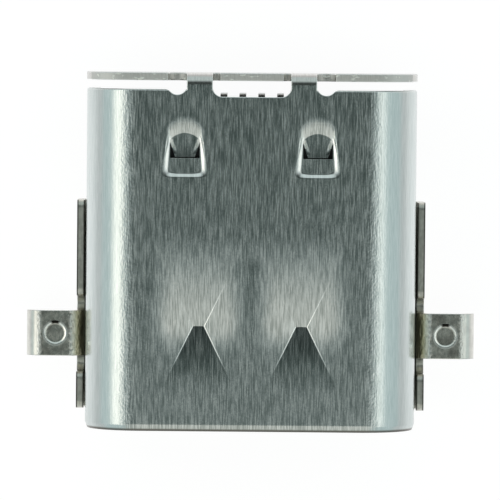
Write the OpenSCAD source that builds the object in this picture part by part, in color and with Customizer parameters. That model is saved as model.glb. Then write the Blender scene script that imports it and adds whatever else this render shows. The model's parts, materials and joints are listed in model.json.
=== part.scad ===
// Mid-mount reversible-plug socket: a folded steel shell, a bracket with board legs,
// and a moulded tongue that carries two rows of contacts.
// The origin is the centre of the plug mouth. -Y leaves the mouth and +Z is up from the board.

/* [Steel shell] */
// Width of the plug cavity, across its round ends
cavity_w = 8.34; // [7.5:0.02:10.02]
// Height of the plug cavity
cavity_h = 2.56; // [2.4:0.02:3.2]
// Thickness of the shell sheet
shell_t = 0.2; // [0.16:0.01:0.24]
// Length of the shell from its mouth to its rear edge
shell_l = 9; // [8.6:0.1:11]
// Length of the coined bevel on the outside of the mouth
mouth_bevel_l = 0.16; // [0.08:0.01:0.25]
// Depth of the coined bevel on the outside of the mouth
mouth_bevel_d = 0.06; // [0.03:0.01:0.08]
// Depth of the lead-in on the inside of the mouth
mouth_lead = 0.05; // [0.03:0.01:0.06]
// Break on the sheared rear edge
rear_break = 0.03; // [0.02:0.01:0.05]
// How far the bottom wall runs past the back of the cavity before it stops for the board
floor_run = 0.2; // [0.1:0.05:0.3]

/* [Seam] */
// Width of the seam slit under the shell
seam_w = 0.03; // [0.02:0.01:0.05]
// Distance from the mouth to the middle of the seam's dovetail
seam_y = 5.9; // [5.7:0.05:6.2]
// How far the dovetail reaches across
seam_reach = 0.6; // [0.4:0.05:0.9]
// Width of the dovetail at its neck
seam_neck = 0.6; // [0.4:0.05:0.9]
// Widening of the dovetail on each side
seam_flare = 0.2; // [0.1:0.05:0.3]

/* [Rear cover] */
// Clearance between the shell's rear edge and the cover
cover_gap = 0.23; // [0.15:0.01:0.4]
// Distance from the edge of the shell's flat top to the middle of each bridge
bridge_inset = 1.52; // [1.3:0.01:1.7]
// Width of each bridge
bridge_w = 0.68; // [0.5:0.01:0.8]
// Inner radius of the bridge's bend
bridge_r = 0.1; // [0.05:0.01:0.14]
// Depth of the window between the bridges, in from the shell's rear edge
window_d = 0.19; // [0.1:0.01:0.3]
// Corner radius of the window
window_r = 0.26; // [0.1:0.01:0.3]
// Radius of the relief notch outside each bridge
relief_r = 0.25; // [0.16:0.01:0.28]
// Radius that blends the relief notch into the rear edge
relief_blend_r = 0.2; // [0.1:0.01:0.3]
// Depth of the relief notch, in from the shell's rear edge
relief_d = 0.14; // [0.1:0.01:0.2]
// How far the cover's top edge is below the shell's top face
cover_drop = 0.18; // [0.1:0.01:0.28]
// Radius of the cover's top corners
cover_corner_r = 1.0; // [0.6:0.05:1.2]
// Depth of the cover's slots beside the bridges, down from its top edge
cover_slot_d = 0.3; // [0.2:0.01:0.5]
// Width of the slot on the inner side of each bridge
cover_slot_w = 0.2; // [0.12:0.01:0.3]

/* [Locking pockets] */
// Distance from the edge of the shell's flat top to the pocket's outer side
pocket_margin = 0.57; // [0.4:0.01:0.7]
// Distance from the back of the cavity to the front of the pocket
pocket_setback = 0.02; // [0:0.01:0.1]
// Length of the pocket's outline
pocket_l = 1.42; // [1.3:0.01:1.5]
// Width of the pocket's outline at its front
pocket_front_w = 1.14; // [1:0.01:1.2]
// Width of the pocket's outline at its rear
pocket_rear_w = 0.84; // [0.82:0.01:0.95]
// Width of the pocket's flat floor
pocket_floor_w = 0.78; // [0.7:0.01:0.8]
// Distance from the pocket's front to its floor
pocket_ramp_l = 0.06; // [0.03:0.01:0.1]
// Depth of the pocket's floor
pocket_d = 0.18; // [0.12:0.01:0.22]
// Length of the slope behind the pocket's floor
pocket_slope_l = 0.22; // [0.18:0.01:0.3]
// Distance from the pocket's front to the shear line across it
shear_l = 0.5; // [0.45:0.01:0.55]
// Width of the shear slit
shear_w = 0.03; // [0.02:0.01:0.04]
// Depth of the pocket's tongue below its floor
tab_drop = 0.08; // [0.05:0.01:0.1]
// Width of the tongue's free end
tab_tip_w = 0.5; // [0.4:0.01:0.6]
// Length of the open triangles beside the tongue
tab_slit_l = 0.38; // [0.3:0.01:0.42]

/* [Plug-holding dents] */
// Distance from the edge of the shell's flat top to the dent's outer side
dent_margin = 0.23; // [0.1:0.01:0.4]
// Distance from the mouth to the dent's ridge
dent_y = 2.77; // [2.5:0.01:3.2]
// Depth of the dent at its ridge
dent_d = 0.13; // [0.08:0.01:0.16]
// Length of the ridge
dent_ridge = 0.29; // [0.2:0.01:0.5]
// How far the dent reaches from its ridge to each side
dent_side = 1.16; // [0.8:0.01:1.18]
// How far the dent reaches from its ridge to the front and the rear
dent_reach = 2.36; // [1.8:0.01:2.4]

/* [Bracket] */
// Thickness of the bracket sheet
bracket_t = 0.2; // [0.16:0.01:0.22]
// Clearance between the shell's side and the bracket's wall
bracket_gap = 0.06; // [0.04:0.01:0.12]
// Inner radius of the bend under the bracket's wall
bracket_r = 0.35; // [0.25:0.01:0.4]
// Distance from the mouth to the bracket's front edge
bracket_y = 0.45; // [0.3:0.01:0.8]
// Distance from the mouth to the bracket's rear edge
bracket_end = 6.01; // [5.5:0.01:6.6]
// Radius of the wall's top corners
wall_corner_r = 0.2; // [0.1:0.01:0.25]
// Height of the relief slots' round ends above the bend under the wall
ear_slot_lift = 0.05; // [0.03:0.01:0.15]
// Width of the relief slot in front of the ear
front_slot_w = 0.42; // [0.3:0.01:0.45]
// Width of the relief slot behind the ear
rear_slot_w = 0.39; // [0.3:0.01:0.45]

/* [Ears and legs] */
// Distance from the mouth to the middle of the ears
ear_y = 2.45; // [2.3:0.01:3.5]
// Width of each ear
ear_w = 1.2; // [1:0.01:1.5]
// Distance from the wall's outer face to the leg's outer face
ear_reach = 1.33; // [1.3:0.01:1.6]
// Inner radius of the bend at the root of the ear
ear_r = 0.23; // [0.15:0.01:0.25]
// Inner radius of the bend at the top of the leg
leg_r = 0.21; // [0.15:0.01:0.25]
// Width of the leg below its shoulder
leg_w = 0.9; // [0.7:0.01:1]
// Width of the leg's tip
leg_tip_w = 0.5; // [0.3:0.01:0.6]
// Length of the leg's tapered tip
leg_taper = 0.3; // [0.2:0.01:0.35]
// Diameter of the half-sheared disc on each ear, across its rim
disc_rim = 0.64; // [0.56:0.01:0.66]
// Diameter of the flat of the disc
disc_flat = 0.5; // [0.4:0.01:0.54]
// Depth of the disc below the ear, and height of its boss underneath
disc_d = 0.07; // [0.04:0.01:0.09]

/* [Board] */
// Depth of the board's top face below the middle of the mouth
board_drop = 0.65; // [0.6:0.01:0.78]
// Height of the tips of the legs and tails above the bracket's underside
tip_lift = 0.05; // [0.03:0.01:0.2]
// Running gap between the shell and the board's edge
board_gap = 0.05; // [0.03:0.01:0.1]

/* [Tongue] */
// Distance from the outermost contact's middle to the tongue's metal edge
tongue_margin = 0.595; // [0.5:0.005:0.65]
// Thickness of the tongue
tongue_t = 0.7; // [0.68:0.01:0.84]
// Distance from the mouth to the tongue's tip
tongue_y = 0.6; // [0.4:0.01:0.8]
// How far the latch plate stands out of each side of the tongue
tongue_inset = 0.15; // [0.1:0.01:0.2]
// Slope length of the tongue's tip
tongue_nose = 0.2; // [0.1:0.01:0.3]
// Corner radius of the tongue's tip in plan
tongue_corner_r = 0.4; // [0.2:0.01:0.6]
// Length of the tongue's thick base, in front of the wall at the back of the cavity
base_l = 1.6; // [1.5:0.01:1.8]
// How far the base stands above and below the tongue, inside its collars
base_step = 0.22; // [0.2:0.01:0.25]
// Radius of the base's edges under the collars
base_edge_r = 0.1; // [0.08:0.01:0.15]

/* [Housing] */
// Distance from the mouth to the wall at the back of the cavity
housing_y = 6.7; // [6.68:0.01:6.72]
// How far the housing's rear face is in front of the shell's rear edge
housing_setback = 0.4; // [0.35:0.01:0.45]
// Clearance between the housing and the shell around it
housing_gap = 0.03; // [0.02:0.005:0.05]

/* [Ground collars] */
// Thickness of the collar sheet
collar_t = 0.1; // [0.08:0.01:0.12]
// Distance from the start of the tongue's thick base to the collars' front edge
collar_setback = 0.3; // [0.2:0.01:0.4]
// Length of the collars held in the housing
collar_grip = 0.3; // [0.2:0.01:0.4]
// Half of the gap between the upper and lower collars
collar_half_gap = 0.08; // [0.05:0.01:0.12]

/* [Latch plate] */
// Thickness of the latch plate
latch_t = 0.15; // [0.1:0.01:0.2]
// Distance from the tongue's tip to the latch plate
latch_tip = 0.18; // [0.1:0.01:0.3]
// Distance from the mouth to the notch that the plug's latch drops into
latch_notch_y = 2.05; // [1.8:0.01:2.4]
// Length of the notch
latch_notch_l = 0.95; // [0.7:0.01:1.1]
// Depth of the notch
latch_notch_d = 0.42; // [0.3:0.01:0.5]
// How far the plate runs past the second row of contact tails
latch_run = 0.23; // [0.1:0.01:0.25]
// Width of each ground tail of the plate
latch_tail_w = 0.5; // [0.3:0.01:0.6]
// Inner radius of the tail's bend
latch_tail_r = 0.1; // [0.08:0.01:0.15]
// Distance from the outermost contact's middle to the tail's outer face
latch_tail_margin = 0.55; // [0.45:0.01:0.6]

/* [Contacts] */
// Contacts in each row
row_count = 12; // [12]
// Distance between neighbouring contacts
pitch = 0.5; // [0.48:0.01:0.6]
// Thickness of a contact
contact_t = 0.12; // [0.1:0.01:0.14]
// Width of a contact on the tongue
pad_w = 0.27; // [0.2:0.01:0.32]
// Width of a contact in the housing
stem_w = 0.22; // [0.18:0.01:0.26]
// Width of a contact's tail
tail_w = 0.175; // [0.15:0.005:0.2]
// Length of the chamfers on a tail's tip
tail_chamfer = 0.04; // [0.02:0.005:0.05]
// Distance from the tongue's tip to the long supply contacts
supply_tip = 0.45; // [0.4:0.01:0.6]
// Distance from the tongue's tip to the shorter signal contacts
signal_tip = 0.85; // [0.7:0.01:1]
// Inner radius of a tail's bend
tail_r = 0.1; // [0.08:0.01:0.12]
// Distance from the shell's rear edge to the outer face of the rearmost tails
tail_setback = 0.13; // [0.1:0.01:0.2]
// Distance between the rows of tails
tail_row_pitch = 0.52; // [0.5:0.01:0.54]

/* [Contact carriers] */
// Distance from the outermost contact's middle to the side of the moulded carriers
carrier_margin = 0.25; // [0.2:0.01:0.27]
// Distance from the start of the tongue's thick base to the carriers' front ends
carrier_setback = 0.5; // [0.4:0.01:0.7]
// Height of each carrier's outer face above the tongue's
carrier_step = 0.13; // [0.1:0.01:0.15]
// Distance from each carrier's rear end to the first row of tails that leaves it
carrier_tail_gap = 0.3; // [0.25:0.01:0.4]

/* [Hidden] */
$fn = 96;
// How far a cut runs past the face that it opens
slack = 1;
// Height above the sheet at which a dent's arc ends
run_out = 0.003;
// Height above the ear at which the disc's rim ends
disc_lip = 0.01;
// Rise of a bent part above the face that it leaves, so that the two are joined
join = 0.03;
// Height of the corner posts that stand on a pocket's floor
post_h = 0.02;

// Steel shell, from the cavity outwards
bore_r = cavity_h / 2;
skin_r = bore_r + shell_t;
flat_half = (cavity_w - cavity_h) / 2;
shell_half_w = flat_half + skin_r;
shell_z = skin_r;
floor_z = -skin_r;
floor_l = housing_y + floor_run;
board_z = -board_drop;
sheet_bottom = board_z + board_gap;

// Rear cover and bridges
cover_y = shell_l + cover_gap;
cover_top = shell_z - cover_drop;
bend_y = cover_y - bridge_r;
bend_z = bore_r - bridge_r;
bridge_x = flat_half - bridge_inset;
bridge_in = bridge_x - bridge_w / 2;
bridge_out = bridge_x + bridge_w / 2;

// Pockets, with their lines counted from the mouth. The sheet's inner side stands outside its
// outer side by pocket_grow
pocket_grow = shell_t / 2;
pocket_x = flat_half - pocket_margin - pocket_front_w / 2;
pocket_corner_r = (pocket_front_w - pocket_floor_w) / 2;
floor_corner_r = pocket_corner_r / 2;
pocket_y = housing_y + pocket_setback;
pocket_end = pocket_y + pocket_l;
slope_y = pocket_end - pocket_slope_l;
tab_y = slope_y - tab_drop * pocket_slope_l / pocket_d;
shear_y = pocket_y + shear_l;

// Dents
dent_half_w = dent_ridge / 2 + dent_side;
dent_x = flat_half - dent_margin - dent_half_w;

// Bracket and legs
plate_z = floor_z - bracket_t;
wall_x = shell_half_w + bracket_gap;
leg_x = wall_x + bracket_t + ear_reach;
wall_z = board_z + bracket_t;
bend_top = floor_z + bracket_r;
tip_z = plate_z + tip_lift;
ear_bend_x = wall_x + bracket_t + ear_r;
leg_bend_x = leg_x - bracket_t - leg_r;
disc_x = (ear_bend_x + leg_bend_x) / 2;
ear_front = ear_y - ear_w / 2;
ear_rear = ear_y + ear_w / 2;

// Tongue, base and collars
row_half = (row_count - 1) / 2 * pitch;
tongue_half_w = row_half + tongue_margin;
core_half_w = tongue_half_w - tongue_inset;
base_half_w = tongue_half_w - collar_t;
base_t = tongue_t + 2 * base_step;
base_y = housing_y - base_l;
collar_y = base_y + collar_setback;
housing_end = shell_l - housing_setback;
collar_end = housing_y + collar_grip;

// Contacts: height of the row and places of its tails
row_z = (tongue_t - contact_t) / 2;
tail_rows = [for (k = [3:-1:0]) shell_l - tail_setback - contact_t / 2 - k * tail_row_pitch];

// Carriers and the latch plate's tails
carrier_half_w = row_half + carrier_margin;
carrier_y = base_y + carrier_setback;
carrier_h = tongue_t / 2 + carrier_step;
upper_carrier_end = tail_rows[2] - carrier_tail_gap;
lower_carrier_end = tail_rows[0] - carrier_tail_gap;
latch_end = tail_rows[1] + latch_run;
latch_tail_x = row_half + latch_tail_margin;

rows = ["a", "b"];
function contact_name(row, i) = str("contact_", row, i < 10 ? "0" : "", i);
function contact_x(i) = (i - (row_count + 1) / 2) * pitch;
function is_supply(i) = i == 1 || i == 4 || i == row_count - 3 || i == row_count;
// Rearmost row of tails for the middle four upper contacts, and the next one for the rest
function upper_tail_row(i) = abs(i - (row_count + 1) / 2) < 2 ? 3 : 2;
// The lower contacts take the two front rows by turns
function lower_tail_row(i) = i % 2;

steel = "#b4b8b3";
bracket_steel = "#a9aaa4";
black_plastic = "#1d1e20";
grey_plastic = "#2a2b2e";
collar_steel = "#a5a8a6";
gold = "#c9a24a";

// ---- Drawing planes ----

// Extrudes an outline drawn in (y, z) along X, centred on the middle plane
module across(width) {
    translate([-width / 2, 0, 0])
        rotate([90, 0, 90])
            linear_extrude(width) children();
}

// Extrudes an outline drawn in (x, z) along Y, from y0 to y1
module along(y0, y1) {
    translate([0, y1, 0])
        rotate([90, 0, 0])
            linear_extrude(y1 - y0) children();
}

// Extrudes an outline drawn in (x, y) from z0 up to z1
module upright(z0, z1) {
    translate([0, 0, z0])
        linear_extrude(z1 - z0) children();
}

// A rectangle between two corners
module span(low, high) {
    translate(low) square(high - low);
}

// A quarter of a bent strip, in the first quadrant round the bend's centre
module bend(r, t) {
    intersection() {
        difference() {
            circle(r + t);
            circle(r);
        }
        square(r + t);
    }
}

module both_sides() {
    children();
    mirror([1, 0, 0]) children();
}

module top_and_bottom() {
    children();
    mirror([0, 0, 1]) children();
}

// ---- Steel shell ----

// Half-round end of a swept section, whose points are [radius, y]
module round_end(points) {
    translate([flat_half, 0, 0])
        rotate([-90, 0, 0])
            rotate([0, 0, -90])
                rotate_extrude(angle = 180) polygon(points);
}

// A section swept once round the socket's flat-sided oval
module swept_oval(points) {
    both_sides() round_end(points);
    top_and_bottom() across(2 * flat_half) polygon([for (p = points) [p[1], p[0]]]);
}

// The sheet's section along its length: coined mouth, plain wall, broken rear edge
module shell_sleeve() {
    swept_oval([
        [bore_r + mouth_lead, 0],
        [skin_r - mouth_bevel_d, 0],
        [skin_r, mouth_bevel_l],
        [skin_r, shell_l - rear_break],
        [skin_r - rear_break, shell_l],
        [bore_r, shell_l],
        [bore_r, mouth_lead]
    ]);
}

// Left-hand normal of a path's segment, from its point k
function normal(path, k) = let (d = path[k + 1] - path[k]) [-d[1], d[0]] / norm(d);

// Point k of a path's edge, a distance d to its left, mitred at the corners
function edge_point(path, k, d) =
    let (
        n1 = normal(path, max(k - 1, 0)),
        n2 = normal(path, min(k, len(path) - 2))
    )
    path[k] + d * (n1 + n2) / (1 + n1 * n2);

// The seam's dovetailed line, as a thin ribbon in plan
module seam_line() {
    neck = [seam_y - seam_neck / 2, seam_y + seam_neck / 2];
    path = [
        [0, -slack],
        [0, neck[0]],
        [seam_reach, neck[0] - seam_flare],
        [seam_reach, neck[1] + seam_flare],
        [0, neck[1]],
        [0, shell_l]
    ];
    last = len(path) - 1;
    polygon(concat(
        [for (k = [0:last]) edge_point(path, k, seam_w / 2)],
        [for (k = [last:-1:0]) edge_point(path, k, -seam_w / 2)]
    ));
}

// Relief notch outside a bridge: a round end that blends into the rear edge
module relief_notch() {
    notch = [bridge_out + relief_r, shell_l - relief_d + relief_r];
    rise = notch[1] - (shell_l - relief_blend_r);
    blend = [notch[0] + sqrt(pow(relief_r + relief_blend_r, 2) - rise * rise), shell_l - relief_blend_r];
    touch = notch + (blend - notch) * relief_r / (relief_r + relief_blend_r);
    translate(notch) circle(relief_r);
    span([bridge_out, notch[1]], [notch[0] + relief_r, shell_l + slack]);
    difference() {
        span([notch[0], touch[1]], [blend[0], shell_l + slack]);
        translate(blend) circle(relief_blend_r);
    }
}

// Window between the bridges, with round inner corners
module rear_window() {
    window_y = shell_l - window_d;
    span([-bridge_in + window_r, window_y], [bridge_in - window_r, shell_l + slack]);
    both_sides() {
        translate([bridge_in - window_r, window_y + window_r]) circle(window_r);
        span([0, window_y + window_r], [bridge_in, shell_l + slack]);
    }
}

module rear_edge_cuts() {
    upright(0, shell_z + slack) {
        rear_window();
        both_sides() relief_notch();
    }
    translate([-shell_half_w - slack, floor_l, floor_z - slack])
        cube([2 * (shell_half_w + slack), shell_l, sheet_bottom - floor_z + slack]);
}

// Strip that leaves the shell's top and bends down into the cover
module bridge() {
    translate([bridge_x, 0, 0]) across(bridge_w) {
        span([shell_l - window_d - relief_d, bore_r], [bend_y, shell_z]);
        translate([bend_y, bend_z]) bend(bridge_r, shell_t);
        span([cover_y, cover_top - cover_slot_d], [cover_y + shell_t, bend_z]);
    }
}

// The cover's outline, before its slots
module cover_outline() {
    corner = [shell_half_w - cover_corner_r, cover_top - cover_corner_r];
    span([-shell_half_w, sheet_bottom], [shell_half_w, corner[1]]);
    span([-corner[0], sheet_bottom], [corner[0], cover_top]);
    both_sides() translate(corner) intersection() {
        circle(cover_corner_r);
        square(cover_corner_r);
    }
}

// Slots that free a bridge from the cover's top edge, and the room for its bend between them
module cover_slots() {
    slot_z = cover_top - cover_slot_d;
    outer = bridge_out + relief_r;
    inner_r = cover_slot_w / 2;
    inner = bridge_in - inner_r;
    span([inner - inner_r, bend_z], [bridge_out, cover_top + slack]);
    span([bridge_out, slot_z + relief_r], [outer + relief_r, cover_top + slack]);
    translate([outer, slot_z + relief_r]) circle(relief_r);
    translate([inner, slot_z + inner_r]) circle(inner_r);
    span([inner - inner_r, slot_z + inner_r], [inner + inner_r, cover_top]);
}

module rear_cover() {
    along(cover_y, cover_y + shell_t) difference() {
        cover_outline();
        both_sides() cover_slots();
    }
    both_sides() bridge();
}

// Corner posts of a pocket's plan outline, for the loft between its rim and its floor
module pocket_posts(z, h, half_front, half_rear, front, rear, r) {
    for (side = [-1, 1]) {
        translate([side * (half_front - r), front + r, z]) cylinder(h = h, r = r, $fn = 32);
        translate([side * (half_rear - r), rear - r, z]) cylinder(h = h, r = r, $fn = 32);
    }
}

// Pressed bowl of a locking pocket, below the height top. grow widens the sheet's inner side
module pocket_bowl(top, rise, grow) {
    floor_half = pocket_floor_w / 2 + grow;
    floor_front = pocket_y + pocket_ramp_l - grow;
    translate([pocket_x, 0, 0]) hull() {
        pocket_posts(top, rise, pocket_front_w / 2 + grow, pocket_rear_w / 2 + grow,
            pocket_y - grow, pocket_end, pocket_corner_r);
        pocket_posts(top - pocket_d, post_h, floor_half, floor_half,
            floor_front, slope_y, floor_corner_r);
    }
}

// Step from the pocket's floor down to its tongue, which the slope behind the floor runs on to
module tab_step(top) {
    flat_z = top - pocket_d;
    translate([pocket_x, 0, 0]) across(pocket_floor_w) polygon([
        [slope_y, flat_z + join],
        [slope_y, flat_z],
        [tab_y, flat_z - tab_drop],
        [shear_y, flat_z - tab_drop],
        [shear_y, flat_z + join]
    ]);
}

// Openings round the pocket's tongue: the shear slit and a triangle on each side
module tab_slits() {
    half = pocket_floor_w / 2;
    translate([pocket_x, 0, 0]) upright(0, shell_z) {
        span([-half, shear_y - shear_w], [half, shear_y]);
        both_sides() polygon([
            [half, shear_y - shear_w],
            [half, shear_y + tab_slit_l],
            [tab_tip_w / 2, shear_y - shear_w]
        ]);
    }
}

// Arc that rises from a dent's ridge and runs out just above the sheet at its reach
module dent_arc(top, reach) {
    drop = dent_d + run_out;
    r = (reach * reach + drop * drop) / (2 * drop);
    translate([reach, top + run_out - r]) circle(r);
}

// Outline of a dent: half is half of its flat, and reach is how far each arc runs
module dent_outline(top, rise, half, reach, floor_drop) {
    difference() {
        span([-half - reach, top - floor_drop], [half + reach, top + rise]);
        both_sides() translate([half, 0]) dent_arc(top, reach);
    }
}

// Hipped dent: the meeting of a curved trough along the shell and one across it
module dent(top, rise) {
    translate([dent_x, dent_y, 0]) intersection() {
        along(-dent_reach, dent_reach)
            dent_outline(top, rise, dent_ridge / 2, dent_side, dent_d);
        across(2 * dent_half_w)
            dent_outline(top, rise, 0, dent_reach, 2 * dent_d);
    }
}

module shell() {
    color(steel) difference() {
        union() {
            difference() {
                shell_sleeve();
                rear_edge_cuts();
            }
            rear_cover();
            both_sides() {
                pocket_bowl(bore_r, shell_t / 2, pocket_grow);
                tab_step(bore_r);
                top_and_bottom() dent(bore_r, shell_t / 2);
            }
        }
        both_sides() {
            pocket_bowl(shell_z, slack, 0);
            tab_step(shell_z);
            tab_slits();
            top_and_bottom() dent(shell_z, slack);
        }
        upright(floor_z - slack, board_z) seam_line();
    }
}

// ---- Bracket ----

// Plate under the shell and the bends up to its walls
module bracket_tray() {
    along(bracket_y, bracket_end) {
        span([-wall_x + bracket_r, plate_z], [wall_x - bracket_r, floor_z]);
        both_sides() translate([wall_x - bracket_r, bend_top])
            rotate(-90) bend(bracket_r, bracket_t);
    }
}

// A wall's outline with round top corners, in (y, z)
module wall_panel(y0, y1) {
    r = wall_corner_r;
    span([y0, bend_top], [y1, wall_z - r]);
    span([y0 + r, bend_top], [y1 - r, wall_z]);
    for (y = [y0 + r, y1 - r]) translate([y, wall_z - r]) circle(r);
}

// Relief slot beside an ear, with a round end
module ear_slot(y0, y1) {
    r = (y1 - y0) / 2;
    slot_z = bend_top + ear_slot_lift + r;
    span([y0, slot_z], [y1, wall_z + slack]);
    translate([y0 + r, slot_z]) circle(r);
}

// One wall: front and rear panels joined below the slots, and the root of the ear between
module side_wall() {
    front_end = ear_front - front_slot_w;
    rear_start = ear_rear + rear_slot_w;
    translate([wall_x + bracket_t / 2, 0, 0]) across(bracket_t) {
        wall_panel(bracket_y, front_end);
        wall_panel(rear_start, bracket_end);
        difference() {
            span([front_end - wall_corner_r, bend_top], [rear_start + wall_corner_r, board_z - ear_r]);
            ear_slot(front_end, ear_front);
            ear_slot(ear_rear, rear_start);
        }
    }
}

// Ear that leaves the wall's top and bends down into a leg, in (x, z)
module ear_strip() {
    translate([ear_bend_x, board_z - ear_r])
        mirror([1, 0]) bend(ear_r, bracket_t);
    span([ear_bend_x, board_z], [leg_bend_x, wall_z]);
    translate([leg_bend_x, board_z - leg_r]) bend(leg_r, bracket_t);
}

// Leg below the bend, with shoulders and a tapered tip, in (y, z)
module leg_blade() {
    top = board_z - leg_r;
    shoulder = top - (ear_w - leg_w) / 2;
    polygon([
        [ear_front, top],
        [ear_y - leg_w / 2, shoulder],
        [ear_y - leg_w / 2, tip_z + leg_taper],
        [ear_y - leg_tip_w / 2, tip_z],
        [ear_y + leg_tip_w / 2, tip_z],
        [ear_y + leg_w / 2, tip_z + leg_taper],
        [ear_y + leg_w / 2, shoulder],
        [ear_rear, top]
    ]);
}

// Half-sheared disc: a recess on top of the ear and a boss of the same depth below it
module disc_recess() {
    translate([disc_x, ear_y, wall_z - disc_d])
        cylinder(h = disc_d + disc_lip, d1 = disc_flat, d2 = disc_rim);
}

module disc_boss() {
    translate([disc_x, ear_y, board_z - disc_d])
        cylinder(h = disc_d + bracket_t / 2, d = disc_flat);
}

module bracket() {
    color(bracket_steel) {
        bracket_tray();
        both_sides() {
            side_wall();
            difference() {
                union() {
                    along(ear_front, ear_rear) ear_strip();
                    disc_boss();
                }
                disc_recess();
            }
            translate([leg_x - bracket_t / 2, 0, 0]) across(bracket_t) leg_blade();
        }
    }
}

// ---- Contacts ----

// One contact: a pad on the tongue, a stem through the housing and a tail to the board.
// z is the height of its middle
module contact(i, z, tail_row) {
    tip = tongue_y + (is_supply(i) ? supply_tip : signal_tip);
    low = z - contact_t / 2;
    high = z + contact_t / 2;
    outer = tail_rows[tail_row] + contact_t / 2;
    bend_start = outer - contact_t - tail_r;
    tail_top = low - tail_r;
    translate([contact_x(i), 0, 0]) {
        across(pad_w) span([tip, low], [base_y, high]);
        across(stem_w) span([tip, low], [bend_start, high]);
        across(tail_w) {
            translate([bend_start, tail_top]) bend(tail_r, contact_t);
            polygon([
                [outer - contact_t, tail_top],
                [outer, tail_top],
                [outer, tip_z + tail_chamfer],
                [outer - tail_chamfer, tip_z],
                [outer - contact_t + tail_chamfer, tip_z],
                [outer - contact_t, tip_z + tail_chamfer]
            ]);
        }
    }
}

module upper_contact(i) {
    color(gold) contact(i, row_z, upper_tail_row(i));
}

module lower_contact(i) {
    color(gold) contact(i, -row_z, lower_tail_row(i));
}

// ---- Latch plate ----

// Stiffening plate in the middle of the tongue, with a latch notch in each edge
module latch_plate() {
    r = tongue_corner_r;
    half = tongue_half_w;
    front = tongue_y + latch_tip;
    bend_x = latch_tail_x - latch_t - latch_tail_r;
    tail_end = latch_end - latch_tail_w / 2;
    color(collar_steel) {
        difference() {
            upright(-latch_t / 2, latch_t / 2) {
                span([-half, front + r], [half, base_y]);
                span([-half + r, front], [half - r, base_y]);
                both_sides() translate([half - r, front + r]) circle(r);
                span([-bend_x, base_y - r], [bend_x, latch_end]);
            }
            both_sides() upright(-latch_t, latch_t) latch_notch(0);
        }
        both_sides() along(tail_end - latch_tail_w, tail_end) {
            translate([bend_x, -latch_t / 2 - latch_tail_r]) bend(latch_tail_r, latch_t);
            span([latch_tail_x - latch_t, tip_z], [latch_tail_x, -latch_t / 2 - latch_tail_r]);
        }
    }
}

// Notch in the tongue's right-hand edge. back sets it deeper, for the plastic
module latch_notch(back) {
    span(
        [tongue_half_w - latch_notch_d - back, latch_notch_y - back],
        [tongue_half_w + slack, latch_notch_y + latch_notch_l + back]
    );
}

// ---- Ground collars ----

module round_rect(half_w, half_h, r) {
    square([2 * half_w, 2 * (half_h - r)], center = true);
    square([2 * (half_w - r), 2 * half_h], center = true);
    both_sides() {
        translate([half_w - r, half_h - r]) circle(r);
        translate([half_w - r, r - half_h]) circle(r);
    }
}

// Folded sheet that wraps the upper half of the tongue's base
module collar() {
    color(collar_steel) along(collar_y, collar_end) intersection() {
        difference() {
            round_rect(base_half_w + collar_t, base_t / 2 + collar_t, base_edge_r + collar_t);
            round_rect(base_half_w, base_t / 2, base_edge_r);
        }
        span([-tongue_half_w, collar_half_gap], [tongue_half_w, tongue_half_w]);
    }
}

module upper_collar() {
    collar();
}

module lower_collar() {
    mirror([0, 0, 1]) collar();
}

// ---- Contact carriers ----

module upper_carrier() {
    color(grey_plastic) difference() {
        translate([-carrier_half_w, carrier_y, latch_t / 2])
            cube([2 * carrier_half_w, upper_carrier_end - carrier_y, carrier_h - latch_t / 2]);
        for (i = [1:row_count]) upper_contact(i);
    }
}

module lower_carrier() {
    color(grey_plastic) difference() {
        translate([-carrier_half_w, carrier_y, -carrier_h])
            cube([2 * carrier_half_w, lower_carrier_end - carrier_y, carrier_h - latch_t / 2]);
        for (i = [1:row_count]) lower_contact(i);
    }
}

// ---- Housing ----

// Thin front of the tongue, with a sloped nose and round corners in plan
module tongue_blade() {
    half_t = tongue_t / 2;
    nose_z = half_t - tongue_nose / 2;
    nose_y = tongue_y + tongue_nose;
    difference() {
        intersection() {
            across(2 * core_half_w) polygon([
                [tongue_y, -nose_z],
                [nose_y, -half_t],
                [base_y, -half_t],
                [base_y, half_t],
                [nose_y, half_t],
                [tongue_y, nose_z]
            ]);
            upright(-tongue_t, tongue_t) {
                span([-core_half_w, tongue_y + tongue_corner_r], [core_half_w, housing_y]);
                span([tongue_corner_r - core_half_w, tongue_y], [core_half_w - tongue_corner_r, housing_y]);
                both_sides()
                    translate([core_half_w - tongue_corner_r, tongue_y + tongue_corner_r])
                        circle(tongue_corner_r);
            }
        }
        both_sides() upright(-tongue_t, tongue_t) latch_notch(housing_gap);
    }
}

// Thick base of the tongue, sloped at its front and rounded where the collars wrap it
module tongue_base() {
    half_t = base_t / 2;
    ramp_y = base_y - (base_t - tongue_t) / 2;
    intersection() {
        across(2 * base_half_w) polygon([
            [ramp_y, -tongue_t / 2],
            [base_y, -half_t],
            [collar_end, -half_t],
            [collar_end, half_t],
            [base_y, half_t],
            [ramp_y, tongue_t / 2]
        ]);
        along(ramp_y, collar_end) round_rect(base_half_w, half_t, base_edge_r);
    }
}

// Block that fills the rear of the shell and stands on the board
module housing_block() {
    r = bore_r - housing_gap;
    difference() {
        swept_oval([[0, housing_y], [r, housing_y], [r, housing_end], [0, housing_end]]);
        translate([-shell_half_w, floor_l, floor_z])
            cube([2 * shell_half_w, shell_l, board_z - floor_z]);
        both_sides() pocket_recess();
    }
}

// Stepped recess that takes a locking pocket and its tongue
module pocket_recess() {
    half = pocket_front_w / 2 + pocket_grow + housing_gap;
    shallow = bore_r - pocket_d - housing_gap;
    step_y = shear_y - shear_w;
    translate([pocket_x, 0, 0]) across(2 * half) polygon([
        [housing_y - slack, shallow],
        [step_y, shallow],
        [step_y, shallow - tab_drop],
        [pocket_end + housing_gap, shallow - tab_drop],
        [pocket_end + housing_gap, skin_r],
        [housing_y - slack, skin_r]
    ]);
}

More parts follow.
